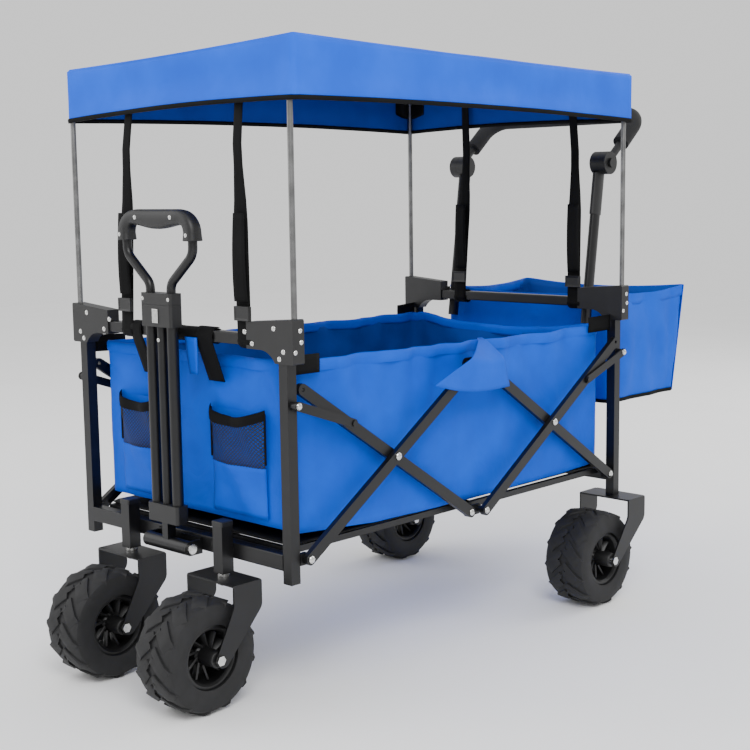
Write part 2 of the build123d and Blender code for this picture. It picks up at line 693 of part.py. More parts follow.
rise = math.radians(push_arm_rise)
arm_dir = Vector(0, math.cos(rise), math.sin(rise))
arm_x = moving_x + push_disc_t / 2
grip_y = push_pivot_y + push_arm_len * math.cos(rise)
push_grip_z = push_pivot_z + push_arm_len * math.sin(rise)
arm_start = Vector(0, push_pivot_y, push_pivot_z) + arm_dir * (push_disc_r - push_seat)
knuckle_start = arm_start - Vector(0, push_knuckle_back, push_knuckle_back)
with BuildPart() as push_hinges:
    for side in sides.values():
        with Locations((side * arm_x, push_pivot_y, push_pivot_z)):
            Cylinder(push_disc_r, push_disc_t, rotation=(0, 90, 0))
        with BuildSketch(Plane(origin=(side * arm_x, knuckle_start.Y, knuckle_start.Z), z_dir=arm_dir)):
            Circle(push_disc_t / 2 - 1)
        extrude(amount=push_knuckle)
        with Locations((side * arm_x, push_pivot_y, push_pivot_z)):
            Cylinder(push_pin_r + fit, 2 * push_disc_t, rotation=(0, 90, 0), mode=Mode.SUBTRACT)
        with Locations((side * (moving_x + push_disc_t), push_pivot_y, push_pivot_z)):
            Cylinder(push_button_r + gap, 2 * push_button_deep, rotation=(0, 90, 0), mode=Mode.SUBTRACT)
save(push_hinges, "push_hinges")

knuckle_end = knuckle_start + arm_dir * push_knuckle
with BuildPart() as push_grip:
    with BuildLine() as grip_path:
        FilletPolyline((arm_x, knuckle_end.Y, knuckle_end.Z), (arm_x, grip_y, push_grip_z),
                       (-arm_x, grip_y, push_grip_z), (-arm_x, knuckle_end.Y, knuckle_end.Z),
                       radius=push_bend_r)
    with BuildSketch(Plane(origin=(arm_x, knuckle_end.Y, knuckle_end.Z), z_dir=arm_dir)):
        Circle(foam_r)
    sweep(path=grip_path.wires()[0])
save(push_grip, "push_grip")

for name, side in sides.items():
    inner_end = moving_x + push_disc_t - push_button_deep + push_button_travel + gap
    outer_end = moving_x + push_disc_t + push_button_travel + push_button_proud
    plane, width = across(side * inner_end, side * outer_end)
    with BuildPart() as push_button:
        with BuildSketch(plane):
            with Locations((push_pivot_y, push_pivot_z)):
                Circle(push_button_r)
        extrude(amount=width)
    save(push_button, f"push_button_{name}")


# ---- Canopy ---------------------------------------------------------------------------------------
canopy_half_l = post_spacing / 2 + canopy_overhang
roof_z = canopy_low + canopy_valance
with BuildPart() as canopy_cover:
    for shrink, low in ((0, canopy_low), (canopy_wall, canopy_low - 1)):
        mode = Mode.SUBTRACT if shrink else Mode.ADD
        with BuildSketch(Plane.XY.offset(low)):
            with Locations((0, mid_y)):
                RectangleRounded(2 * (canopy_half_w - shrink), 2 * (canopy_half_l - shrink),
                                 canopy_edge_r - shrink)
        extrude(amount=roof_z - shrink - low, mode=mode)
        with BuildSketch(Plane.XY.offset(roof_z - shrink)):
            with Locations((0, mid_y)):
                RectangleRounded(2 * (canopy_half_w - shrink), 2 * (canopy_half_l - shrink),
                                 canopy_edge_r - shrink)
        with BuildSketch(Plane.XY.offset(roof_z - shrink + canopy_crown)):
            with Locations((0, mid_y)):
                RectangleRounded(canopy_half_w, canopy_half_l, canopy_edge_r - shrink)
        loft(mode=mode)
save(canopy_cover, "canopy_cover")

pole_top = roof_z - 2 * canopy_wall
strap_low = rail_z + rail_w / 2 + 1
strap_left_x = post_x - bracket_reach - strap_w / 2 - 1
for end, (y, inward) in ends.items():
    with BuildPart() as poles:
        with Locations((post_x + pole_out, y, (pole_foot_z + 1 + pole_top) / 2),
                       (-post_x - pole_out, y, (pole_foot_z + 1 + pole_top) / 2)):
            Cylinder(pole_r, pole_top - pole_foot_z - 1)
    save(poles, f"{end}_poles")
    with BuildPart() as straps:
        with Locations(*[(x, y, (strap_low + pole_top) / 2) for x in (strap_left_x, strap_right_x)]):
            Box(strap_w, strap_t, pole_top - strap_low)
    save(straps, f"{end}_straps")


# ---- Cloth basket and rear bag --------------------------------------------------------------------
basket_half_l = post_spacing / 2 - post_w / 2 - basket_end_gap
with BuildPart() as basket:
    with BuildSketch(Plane.XY.offset(basket_low)):
        with Locations((0, mid_y)):
            RectangleRounded(2 * basket_half_w, 2 * basket_half_l, basket_edge_r)
    extrude(amount=basket_rim - basket_low)
    with BuildSketch(Plane.XY.offset(basket_low + basket_wall)):
        with Locations((0, mid_y)):
            RectangleRounded(2 * (basket_half_w - basket_wall), 2 * (basket_half_l - basket_wall),
                             basket_edge_r - basket_wall)
    extrude(amount=basket_rim - basket_low, mode=Mode.SUBTRACT)
save(basket, "basket")

bag_front = rear_y + bag_front_out
with BuildPart() as rear_bag:
    with BuildSketch(Plane.YZ.offset(-bag_half_w)):
        with BuildLine():
            Polyline((bag_front, bag_low), (bag_front + bag_depth - bag_slope, bag_low),
                     (bag_front + bag_depth, bag_top), (bag_front, bag_top), close=True)
        make_face()
    extrude(amount=2 * bag_half_w)
    with BuildSketch(Plane.YZ.offset(bag_wall - bag_half_w)):
        with BuildLine():
            Polyline((bag_front + bag_wall, bag_low + bag_wall),
                     (bag_front + bag_depth - bag_slope - bag_wall, bag_low + bag_wall),
                     (bag_front + bag_depth - bag_wall, bag_top + 1), (bag_front + bag_wall, bag_top + 1),
                     close=True)
        make_face()
    extrude(amount=2 * (bag_half_w - bag_wall), mode=Mode.SUBTRACT)
save(rear_bag, "rear_bag")
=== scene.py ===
import math

import bmesh
import bpy
from mathutils import Matrix, Vector, noise


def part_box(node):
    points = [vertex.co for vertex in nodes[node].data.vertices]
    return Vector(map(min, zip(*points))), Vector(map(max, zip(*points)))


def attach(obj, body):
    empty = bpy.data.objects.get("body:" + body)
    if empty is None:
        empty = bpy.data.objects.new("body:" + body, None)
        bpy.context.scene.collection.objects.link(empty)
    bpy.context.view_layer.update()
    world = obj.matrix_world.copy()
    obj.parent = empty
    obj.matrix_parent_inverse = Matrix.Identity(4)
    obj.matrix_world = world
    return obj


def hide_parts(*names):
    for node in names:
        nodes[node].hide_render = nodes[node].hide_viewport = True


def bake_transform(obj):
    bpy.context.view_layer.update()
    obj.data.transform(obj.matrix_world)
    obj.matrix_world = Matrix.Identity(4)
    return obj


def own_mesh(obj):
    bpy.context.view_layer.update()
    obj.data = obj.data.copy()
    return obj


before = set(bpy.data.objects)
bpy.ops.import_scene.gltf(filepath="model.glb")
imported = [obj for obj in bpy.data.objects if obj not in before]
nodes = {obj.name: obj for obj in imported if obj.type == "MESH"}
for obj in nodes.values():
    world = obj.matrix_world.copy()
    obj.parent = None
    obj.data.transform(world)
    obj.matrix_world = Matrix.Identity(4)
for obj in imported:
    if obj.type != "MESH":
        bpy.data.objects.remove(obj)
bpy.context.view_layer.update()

# ---------------------------------------------------------------------------------------------------
# Folding beach cart: two steel end frames with scissor bars between them, a hung cloth basket, a rear
# bag, a box canopy on thin poles, broad chevron tyres, a telescoping pull handle and a push handle.
# ---------------------------------------------------------------------------------------------------
front_y = sum(corner.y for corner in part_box("front_posts")) / 2
rear_y = sum(corner.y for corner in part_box("rear_posts")) / 2
mid_y = (front_y + rear_y) / 2
post_x = (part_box("front_posts")[1].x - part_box("front_posts")[0].x) / 2 - 0.009


# ---- Camera ---------------------------------------------------------------------------------------
# A long lens from the front left, a little above the basket's rim, turned level with the ground.
camera_data = bpy.data.cameras.new("camera")
camera_data.lens = 65.14
camera_data.sensor_width = 36.0
camera = bpy.data.objects.new("camera", camera_data)
bpy.context.scene.collection.objects.link(camera)
yaw, pitch, roll = 0.7621, -0.1337, -0.0137
ahead = Vector((-math.sin(yaw) * math.cos(pitch), math.cos(yaw) * math.cos(pitch), math.sin(pitch)))
level = Vector((math.cos(yaw), math.sin(yaw), 0.0))
upward = level.cross(ahead)
camera_right = level * math.cos(roll) + upward * math.sin(roll)
camera_up = upward * math.cos(roll) - level * math.sin(roll)
turn = Matrix((camera_right, camera_up, -ahead)).transposed().to_4x4()
camera.matrix_world = Matrix.Translation((1.6948, mid_y - 1.7512, 0.7792)) @ turn
bpy.context.scene.camera = camera


# ---- Floor and studio light -----------------------------------------------------------------------
# A white painted board under an even white sky, with one soft box on the cart's left and two weaker fills.
def linear(code):
    """An sRGB hex code as linear red, green, blue and alpha."""
    parts = [int(code[i:i + 2], 16) / 255 for i in (1, 3, 5)]
    return (*[c / 12.92 if c <= 0.04045 else ((c + 0.055) / 1.055) ** 2.4 for c in parts], 1.0)


def add_node(tree, kind, inputs=None, links=None, **settings):
    """One shader node with its settings, its unlinked inputs and the outputs that feed it."""
    made = tree.nodes.new(kind)
    for name, value in settings.items():
        setattr(made, name, value)
    for socket, value in (inputs or {}).items():
        made.inputs[socket].default_value = value
    for socket, source in (links or {}).items():
        tree.links.new(source, made.inputs[socket])
    return made


def start_material(name, roughness, metallic=0.0, colour=None):
    """A new material, and its tree, surface shader and object coordinates."""
    material = bpy.data.materials.new(name)
    material.use_nodes = True
    tree = material.node_tree
    surface = tree.nodes["Principled BSDF"]
    surface.inputs["Roughness"].default_value = roughness
    surface.inputs["Metallic"].default_value = metallic
    if colour:
        surface.inputs["Base Color"].default_value = linear(colour)
    place = add_node(tree, "ShaderNodeTexCoord").outputs["Object"]
    return material, tree, surface, place


def mottle(tree, surface, place, dark, light, size_mm, socket="Base Color"):
    """Soft cloudy change between two colours, or two values, over patches of the size given."""
    cloud = add_node(tree, "ShaderNodeTexNoise", {"Scale": 1000 / size_mm, "Detail": 3.0}, {"Vector": place})
    ramp = add_node(tree, "ShaderNodeValToRGB", links={"Fac": cloud.outputs["Fac"]})
    ends = ramp.color_ramp.elements
    ends[0].position, ends[1].position = 0.35, 0.65
    for end, value in zip(ends, (dark, light)):
        end.color = linear(value) if isinstance(value, str) else (value, value, value, 1)
    tree.links.new(ramp.outputs["Color"], surface.inputs[socket])
    return cloud


def grain(tree, surface, place, size_mm, depth_mm, strength=1.0):
    """Fine pitted bump, as of powder coat or sparked mould steel."""
    pits = add_node(tree, "ShaderNodeTexNoise", {"Scale": 1000 / size_mm, "Detail": 2.0}, {"Vector": place})
    bump = add_node(tree, "ShaderNodeBump", {"Strength": strength, "Distance": depth_mm / 1000},
                    {"Height": pits.outputs["Fac"]})
    tree.links.new(bump.outputs["Normal"], surface.inputs["Normal"])
    return bump


def deselect():
    if bpy.context.object and bpy.context.object.mode != "OBJECT":
        bpy.ops.object.mode_set(mode="OBJECT")
    bpy.ops.object.select_all(action="DESELECT")


def show(piece, material, body):
    """Give a finished piece its material and the body that it rides on."""
    piece.data.materials.clear()
    piece.data.materials.append(material)
    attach(piece, body)
    return piece


painted_board, tree, surface, place = start_material("painted_board", 0.9)
mottle(tree, surface, place, "#FBFBFB", "#FDFDFD", 300)
deselect()
bpy.ops.mesh.primitive_plane_add(size=14, location=(0, 0, 0))
floor = bpy.context.object
floor.name = "floor"
floor.data.materials.append(painted_board)

for name, spot, size, watts in (("key", (2.6, -2.2, 3.2), 1.8, 120), ("fill", (-2.8, -2.4, 2.2), 3.0, 50),
                                ("back", (0.5, 3.2, 2.6), 3.0, 60)):
    lamp_data = bpy.data.lights.new(name, "AREA")
    lamp_data.size = size
    lamp_data.energy = watts
    lamp = bpy.data.objects.new(name, lamp_data)
    bpy.context.scene.collection.objects.link(lamp)
    lamp.location = spot
    lamp.rotation_euler = (Vector((0, 0, 0.5)) - Vector(spot)).to_track_quat("-Z", "Y").to_euler()
world = bpy.data.worlds.new("studio")
world.use_nodes = True
world.node_tree.nodes["Background"].inputs["Color"].default_value = (1, 1, 1, 1)
world.node_tree.nodes["Background"].inputs["Strength"].default_value = 1.0
bpy.context.scene.world = world


# ---- End frames, bars, links and floor tubes --------------------------------------------------------
# Square and flat steel tube, welded and powder coated black: a satin skin with a faint orange peel and
# slightly greyer patches where hands and straps rub it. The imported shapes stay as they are.
powder_coat, tree, surface, place = start_material("black_powder_coated_steel", 0.38)
mottle(tree, surface, place, "#0B0B0C", "#101012", 40)
grain(tree, surface, place, 1.6, 0.08, 0.35)
surface.inputs["Specular IOR Level"].default_value = 0.38

coated_steel = ("front_posts", "rear_posts", "front_crossbar", "rear_crossbar", "front_top_rail", "rear_top_rail",
                "front_pivots", "rear_pivots", "front_lower_bars", "front_upper_bars", "rear_lower_bars",
                "rear_upper_bars", "top_hubs", "bottom_hubs", "front_links", "rear_links", "front_floor_frame",
                "rear_floor_frame", "front_fork_left", "front_fork_right", "rear_forks", "caster_stems",
                "handle_bracket", "pull_foot", "pull_tubes", "pull_yoke", "push_posts")


def coat(names, material):
    """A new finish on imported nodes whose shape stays."""
    for name in names:
        slots = nodes[name].data.materials
        slots.clear()
        slots.append(material)


coat(coated_steel, powder_coat)


# ---- Rivets, pins and bolts -------------------------------------------------------------------------
# Zinc plated steel, bright and slightly uneven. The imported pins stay; each visible rivet gets a domed
# head, one turned form copied to its places.
bright_zinc, tree, surface, place = start_material("bright_zinc_plate", 0.24, 1.0)
mottle(tree, surface, place, "#C9C9C6", "#DEDEDC", 6)
grain(tree, surface, place, 1.2, 0.04, 0.3)
coat(("front_cross_rivets", "rear_cross_rivets", "front_axle_left", "front_axle_right", "rear_axles", "front_bolts",
      "pull_button"), bright_zinc)


def turned(name, profile, centre, turn_axis, steps):
    """A closed form spun round turn_axis through centre from a profile of (radius, along) pairs."""
    spare = Vector((0, 0, 1)) if abs(turn_axis[2]) < 0.9 else Vector((0, 1, 0))
    axis_line = Vector(turn_axis).normalized()
    outward = (spare - axis_line * spare.dot(axis_line)).normalized()
    points = [Vector(centre) + outward * r + axis_line * along for r, along in profile]
    mesh = bpy.data.meshes.new(name)
    mesh.from_pydata(points, [(i, i + 1) for i in range(len(points) - 1)], [])
    piece = bpy.data.objects.new(name, mesh)
    bpy.context.scene.collection.objects.link(piece)
    deselect()
    piece.select_set(True)
    bpy.context.view_layer.objects.active = piece
    bpy.ops.object.mode_set(mode="EDIT")
    bpy.ops.mesh.select_all(action="SELECT")
    bpy.ops.mesh.spin(steps=steps, angle=math.tau, center=centre, axis=turn_axis)
    bpy.ops.mesh.select_all(action="SELECT")
    bpy.ops.mesh.remove_doubles(threshold=0.00002)
    bpy.ops.mesh.normals_make_consistent(inside=False)
    bpy.ops.object.mode_set(mode="OBJECT")
    bpy.ops.object.shade_smooth_by_angle(angle=math.radians(35))
    return piece


def rivet_heads(name, spots, radius, body, material=bright_zinc):
    """Domed heads at the spots given as (point, outward direction), joined into one piece."""
    heads = []
    for point, way in spots:
        profile = [(0.0, radius * 0.5), (radius * 0.42, radius * 0.44), (radius * 0.78, radius * 0.27),
                   (radius, 0.0), (radius, -radius * 0.3), (0.0, -radius * 0.3)]
        heads.append(turned(name, profile, point, way, 20))
    deselect()
    for head in heads:
        head.select_set(True)
    bpy.context.view_layer.objects.active = heads[0]
    bpy.ops.object.join()
    heads[0].name = name
    return show(heads[0], material, body)


out_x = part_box("front_brackets")[1].x
front_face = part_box("front_brackets")[0].y
rear_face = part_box("rear_brackets")[1].y
gusset = [(0.170, 0.577), (0.186, 0.560), (0.234, 0.585), (0.254, 0.552), (0.245, 0.541)]
rivet_heads("front_gusset_rivets", [((s * x, front_face, z), (0, -1, 0)) for s in (1, -1) for x, z in gusset],
            0.0042, "front_frame")
rivet_heads("rear_gusset_rivets", [((s * x, rear_face, z), (0, 1, 0)) for s in (1, -1) for x, z in gusset],
            0.0042, "root")
side_gusset = [(-0.006, 0.552), (0.004, 0.583), (0.006, 0.566)]
rivet_heads("front_side_rivets", [((s * out_x, front_y + y, z), (s, 0, 0)) for s in (1, -1) for y, z in side_gusset],
            0.0038, "front_frame")
rivet_heads("rear_side_rivets", [((s * out_x, rear_y + y, z), (s, 0, 0)) for s in (1, -1) for y, z in side_gusset],
            0.0038, "root")

link_pin_z, low_pin_z, cross_z = 0.473, 0.240, 0.367
for end, line, body in (("front", front_y, "front_frame"), ("rear", rear_y, "root")):
    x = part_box(f"{end}_pivots")[1].x - 0.001
    rivet_heads(f"{end}_link_rivets", [((s * x, line, link_pin_z), (s, 0, 0)) for s in (1, -1)], 0.0055, body)
outer_x, inner_x = 0.2715, 0.2615           # outer faces of the outer and the inner bars
foot_in, hub_half = 0.022, 0.014            # pins inboard of the posts, and each side of the hub's middle
cross_y = (front_y + foot_in + mid_y - hub_half) / 2
for name, x, y, z, radius, body in (
        ("front_foot_rivets", outer_x, front_y + foot_in, low_pin_z, 0.0058, "front_frame"),
        ("rear_foot_rivets", inner_x, rear_y - foot_in, low_pin_z, 0.0058, "root"),
        ("front_cross_heads", outer_x, cross_y, cross_z, 0.0062, "front_lower_scissor"),
        ("rear_cross_heads", outer_x, 2 * mid_y - cross_y, cross_z, 0.0062, "rear_lower_scissor")):
    rivet_heads(name, [((s * x, y, z), (s, 0, 0)) for s in (1, -1)], radius, body)
rivet_heads("bottom_hub_heads", [((s * (outer_x - 0.001), mid_y + hub_half, low_pin_z), (s, 0, 0)) for s in (1, -1)]
            + [((s * (inner_x - 0.001), mid_y - hub_half, low_pin_z), (s, 0, 0)) for s in (1, -1)], 0.0058,
            "bottom_hub")


# ---- Moulded corner brackets, caps and handle fittings ----------------------------------------------
# Injection-moulded black nylon with a fine sparked grain, a little duller than the painted tube.
black_nylon, tree, surface, place = start_material("moulded_black_nylon", 0.5)
mottle(tree, surface, place, "#0C0C0D", "#121213", 30)
grain(tree, surface, place, 0.9, 0.06, 0.5)
coat(("front_brackets", "rear_brackets", "stem_caps", "pull_blocks", "pull_collar", "pull_grip", "push_sockets",
      "push_hinges", "push_button_left", "push_button_right"), black_nylon)

pole_steel, tree, surface, place = start_material("drawn_steel_rod", 0.32, 1.0)
mottle(tree, surface, place, "#6E6E6E", "#858585", 25)
coat(("front_poles", "rear_poles"), pole_steel)

closed_cell_foam, tree, surface, place = start_material("closed_cell_foam", 0.85)
mottle(tree, surface, place, "#0E0E0F", "#141415", 12)
grain(tree, surface, place, 1.1, 0.25, 0.8)
coat(("push_grip",), closed_cell_foam)


# ---- Tyres --------------------------------------------------------------------------------------------
# Broad soft tyres moulded in black rubber: a round-shouldered body, spun, with two rows of deep slanted
# lugs that meet in chevrons, each one block bent over the shoulder and copied round.
tyre_rubber, tree, surface, place = start_material("tyre_rubber", 0.72)
mottle(tree, surface, place, "#111112", "#18181A", 18)
grain(tree, surface, place, 1.5, 0.15, 0.6)

rim_nylon, tree, surface, place = start_material("rim_nylon", 0.45)
mottle(tree, surface, place, "#0B0B0C", "#111112", 20)
grain(tree, surface, place, 1.0, 0.05, 0.4)

low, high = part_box("rear_left_tyre")
wheel_r = (high.z - low.z) / 2
wheel_half = (high.x - low.x) / 2
low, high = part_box("rear_left_rim")
rim_r = (high.z - low.z) / 2
body_r = wheel_r - 0.0044
lug_count = 13


def lug(side, angle):
    """One slanted block from the tread's middle over the shoulder, at an angle round the tyre."""
    bpy.ops.mesh.primitive_cube_add(size=1, location=(0, 0, 0))
    block = bpy.context.object
    block.scale = (0.038, 0.0225, 0.0110)
    block.location = (side * 0.0185, 0, wheel_r - 0.0058)
    bpy.ops.object.transform_apply(location=True, rotation=True, scale=True)
    bpy.ops.object.mode_set(mode="EDIT")
    bpy.ops.mesh.select_all(action="DESELECT")
    bpy.ops.object.mode_set(mode="OBJECT")
    for face in block.data.polygons:
        face.select = face.normal.x * side > 0.9
    bpy.ops.object.mode_set(mode="EDIT")
    bpy.ops.mesh.extrude_region_move(TRANSFORM_OT_translate={"value": (side * 0.0085, 0, -0.0045)})
    bpy.ops.mesh.extrude_region_move(TRANSFORM_OT_translate={"value": (side * 0.0010, 0, -0.010)})
    bpy.ops.mesh.select_all(action="SELECT")
    bpy.ops.mesh.subdivide(number_cuts=2)
    bpy.ops.object.mode_set(mode="OBJECT")
    turn_out = Matrix.Rotation(side * math.radians(-42), 4, "Z")
    around = Matrix.Rotation(angle, 4, "X")
    for vertex in block.data.vertices:
        point = turn_out @ vertex.co
        point.x = side * min(abs(point.x), wheel_half - 0.0003)
        # the block keeps its height over the round tread
        point.z -= wheel_r - math.sqrt(wheel_r ** 2 - point.y ** 2)
        vertex.co = around @ point
    return block


tyre_body = turned("tyre_model", [(rim_r, -wheel_half + 0.004), (rim_r + 0.012, -wheel_half + 0.0012),
                                  (body_r - 0.010, -wheel_half + 0.0010), (body_r - 0.003, -wheel_half + 0.0035),
                                  (body_r, -wheel_half + 0.009), (body_r + 0.001, 0),
                                  (body_r, wheel_half - 0.009), (body_r - 0.003, wheel_half - 0.0035),
                                  (body_r - 0.010, wheel_half - 0.0010), (rim_r + 0.012, wheel_half - 0.0012),
                                  (rim_r, wheel_half - 0.004), (rim_r, -wheel_half + 0.004)], (0, 0, 0), (1, 0, 0), 72)
blocks = []
for number in range(lug_count):
    for side in (1, -1):
        blocks.append(lug(side, math.tau * (number + (0.5 if side > 0 else 0)) / lug_count))
deselect()
for block in blocks:
    block.select_set(True)
bpy.context.view_layer.objects.active = blocks[0]
bpy.ops.object.join()
lugs = bpy.context.object
rounding = lugs.modifiers.new("rounding", "BEVEL")
rounding.width = 0.0014
rounding.segments = 2
bpy.ops.object.modifier_apply(modifier=rounding.name)
deselect()
tyre_body.select_set(True)
lugs.select_set(True)
bpy.context.view_layer.objects.active = tyre_body
bpy.ops.object.join()
bpy.ops.object.shade_smooth_by_angle(angle=math.radians(35))


# ---- Rims ---------------------------------------------------------------------------------------------
# Moulded nylon: a waisted band with a rolled lip, a stepped hub and ten leaning blades like a fan's.
nave_half = (high.x - low.x) / 2
band_half = 0.036
band = [(rim_r - 0.0005, -band_half), (rim_r - 0.0005, band_half), (rim_r - 0.005, band_half + 0.001),
        (rim_r - 0.009, band_half - 0.004), (rim_r - 0.012, 0.006), (rim_r - 0.012, -0.006),
        (rim_r - 0.009, -band_half + 0.004), (rim_r - 0.005, -band_half - 0.001), (rim_r - 0.0005, -band_half)]
nave = [(0.0052, -nave_half), (0.012, -nave_half), (0.0135, -nave_half + 0.003), (0.0135, -0.020),
        (0.017, -0.016), (0.017, 0.016), (0.0135, 0.020), (0.0135, nave_half - 0.003), (0.012, nave_half),
        (0.0052, nave_half), (0.0052, -nave_half)]
rim_parts = [turned("rim_model", band, (0, 0, 0), (1, 0, 0), 64), turned("rim_hub", nave, (0, 0, 0), (1, 0, 0), 40)]
for number in range(10):
    for way in (1, -1):
        bpy.ops.mesh.primitive_cube_add(size=1, location=(0, 0, 0))
        blade = bpy.context.object
        blade.scale = (0.020, 0.0035, rim_r - 0.024)
        blade.rotation_euler = (math.radians(12) * way, 0, math.radians(24) * way)
        blade.location = (way * 0.014, 0, rim_r / 2 + 0.001)
        bpy.ops.object.transform_apply(location=True, rotation=True, scale=True)
        blade.data.transform(Matrix.Rotation(math.tau * number / 10, 4, "X"))
        rim_parts.append(blade)
deselect()
for part in rim_parts:
    part.select_set(True)
bpy.context.view_layer.objects.active = rim_parts[0]
bpy.ops.object.join()
rim_model = bpy.context.object
rounding = rim_model.modifiers.new("rounding", "BEVEL")
rounding.width = 0.0006
rounding.segments = 2
bpy.ops.object.modifier_apply(modifier=rounding.name)
bpy.ops.object.shade_smooth_by_angle(angle=math.radians(35))

for end in ("front", "rear"):
    for name in ("left", "right"):
        low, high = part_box(f"{end}_{name}_tyre")
        hub = (low + high) / 2
        for model, kind, material in ((tyre_body, "tyre", tyre_rubber), (rim_model, "rim", rim_nylon)):
            copied = model.data.copy()
            wheel_turn = 0.1 + (0.15 if name == "right" else 0.0) + (0.3 if end == "rear" else 0.0)
            copied.transform(Matrix.Translation(hub) @ Matrix.Rotation(wheel_turn, 4, "X"))
            piece = bpy.data.objects.new(f"{end}_{name}_{'chevron_tyre' if kind == 'tyre' else 'fan_rim'}", copied)
            bpy.context.scene.collection.objects.link(piece)
            show(piece, material, f"{end}_wheel_{name}")
            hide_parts(f"{end}_{name}_{kind}")
bpy.data.objects.remove(tyre_body)
bpy.data.objects.remove(rim_model)


# ---- Cloth --------------------------------------------------------------------------------------------
# Coated woven polyester in bright blue, its inner faces a darker blue that is painted shade; black webbing and black
# net. Each cloth piece is one fine grid of points, given its own sag, creases and folds. The weave is drawn coarse, 1.1
# mm, so that it shows.
def cloth(name, dark, light, roughness=0.62, crease_mm=55.0, crease_depth=1.6):
    """Coated woven cloth: cloudy colour, soft creases and a fine plain weave."""
    material, tree, surface, place = start_material(name, roughness)
    mottle(tree, surface, place, dark, light, 90)
    soft = add_node(tree, "ShaderNodeTexNoise", {"Scale": 1000 / crease_mm, "Detail": 3.0, "Distortion": 0.6},
                    {"Vector": place})
    creased = add_node(tree, "ShaderNodeBump", {"Strength": 0.6, "Distance": crease_depth / 1000},
                       {"Height": soft.outputs["Fac"]})
    weave = add_node(tree, "ShaderNodeTexVoronoi", {"Scale": 1000 / 1.1}, {"Vector": place})
    woven = add_node(tree, "ShaderNodeBump", {"Strength": 0.25, "Distance": 0.00012},
                     {"Height": weave.outputs["Distance"], "Normal": creased.outputs["Normal"]})
    tree.links.new(woven.outputs["Normal"], surface.inputs["Normal"])
    surface.inputs["Specular IOR Level"].default_value = 0.12
    return material


blue_polyester = cloth("blue_polyester", "#0052DA", "#005AE8")
basket_polyester = cloth("basket_polyester", "#004CC6", "#0054D4", crease_mm=60.0, crease_depth=5.0)
# A darker blue for the inner faces of the basket and the bag: painted shade.
blue_inside_painted_shade = cloth("blue_inside_painted_shade", "#083C94", "#0A44A2")
# A darker blue for the canopy's underside: painted shade.
canopy_underside_painted_shade = cloth("canopy_underside_painted_shade", "#003698", "#003EA4")
black_polyester = cloth("black_polyester", "#0A0A0B", "#0F0F10")
black_webbing = cloth("black_webbing", "#0A0A0B", "#101011", roughness=0.75, crease_mm=9.0, crease_depth=0.3)


def woven(name, rows, closed=False, capped=False):
    """A grid of points as a sheet: closed joins each row's ends, capped fills the last row."""
    count = len(rows[0])
    points = [p for row in rows for p in row]
    faces = []
    for i in range(len(rows) - 1):
        for j in range(count if closed else count - 1):
            k = (j + 1) % count
            faces.append((i * count + j, i * count + k, (i + 1) * count + k, (i + 1) * count + j))
    if capped:
        last = (len(rows) - 1) * count
        points.append(sum((Vector(p) for p in rows[-1]), Vector()) / count)
        faces += [(last + j, last + (j + 1) % count, len(points) - 1) for j in range(count)]
    mesh = bpy.data.meshes.new(name)
    mesh.from_pydata([tuple(p) for p in points], [], faces)
    piece = bpy.data.objects.new(name, mesh)
    bpy.context.scene.collection.objects.link(piece)
    deselect()
    piece.select_set(True)
    bpy.context.view_layer.objects.active = piece
    bpy.ops.object.mode_set(mode="EDIT")
    bpy.ops.mesh.select_all(action="SELECT")
    bpy.ops.mesh.normals_make_consistent(inside=False)
    bpy.ops.object.mode_set(mode="OBJECT")
    bpy.ops.object.shade_smooth()
    return piece


def thicken(piece, thickness, inner_painted_shade=None, offset=-1.0):
    """A live thickness, with a darker material on the inner face where one is given: painted shade."""
    if inner_painted_shade:
        piece.data.materials.append(inner_painted_shade)
    wall = piece.modifiers.new("thickness", "SOLIDIFY")
    wall.thickness = thickness
    wall.offset = offset
    wall.material_offset = 1 if inner_painted_shade else 0


def outline(half_w, half_l, radius, spans, centre_y):
    """Points round a rounded rectangle, spans steps to each side: (x, y, outward x, outward y)."""
    points = []
    corners = ((1, -1, -90), (1, 1, 0), (-1, 1, 90), (-1, -1, 180))
    for index, (sx, sy, start) in enumerate(corners):
        cx, cy = sx * (half_w - radius), centre_y + sy * (half_l - radius)
        for k in range(7):
            angle = math.radians(start + 15 * k)
            points.append((cx + radius * math.cos(angle), cy + radius * math.sin(angle),
                           math.cos(angle), math.sin(angle)))
        next_sx, next_sy, next_start = corners[(index + 1) % 4]
        angle = math.radians(start + 90)
        x0, y0 = points[-1][:2]
        x1 = next_sx * (half_w - radius) + radius * math.cos(math.radians(next_start))
        y1 = centre_y + next_sy * (half_l - radius) + radius * math.sin(math.radians(next_start))
        count = spans[(index + 1) % 2]
        for k in range(1, count):
            points.append((x0 + (x1 - x0) * k / count, y0 + (y1 - y0) * k / count,
                           math.cos(angle), math.sin(angle)))
    return points


def ripple(x, y, z, size_mm, depth_mm, seed=0.0):
    """Smooth noise at a point of the cloth, in metres."""
    return depth_mm / 1000 * noise.noise(Vector((x, y, z)) * (1000 / size_mm) + Vector((seed, seed, seed)))


def bowed(value, half):
    """1 in the middle of a span of this half width, 0 at its ends."""
    return max(0.0, 1 - (value / half) ** 2)


# ---- Canopy -------------------------------------------------------------------------------------------
# One cut of blue cloth over four poles: a nearly flat roof that dips a little between them and a deep
# valance whose lower edge, bound in black, bows up between the corners.
canopy_low, canopy_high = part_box("canopy_cover")
canopy_half_w = (canopy_high.x - canopy_low.x) / 2
canopy_half_l = (canopy_high.y - canopy_low.y) / 2
canopy_mid = (canopy_high.y + canopy_low.y) / 2
roof_z = canopy_high.z - 0.012
waist = 0.0035                  # how far each side draws in at its middle
around = outline(canopy_half_w - 0.001, canopy_half_l - 0.001, 0.010, (60, 94), canopy_mid)


def canopy_span(x, y, nx, ny):
    """How far along its side a point of the outline is from the corners, 0 to 1."""
    return bowed(x, canopy_half_w) if abs(ny) > abs(nx) else bowed(y - canopy_mid, canopy_half_l)


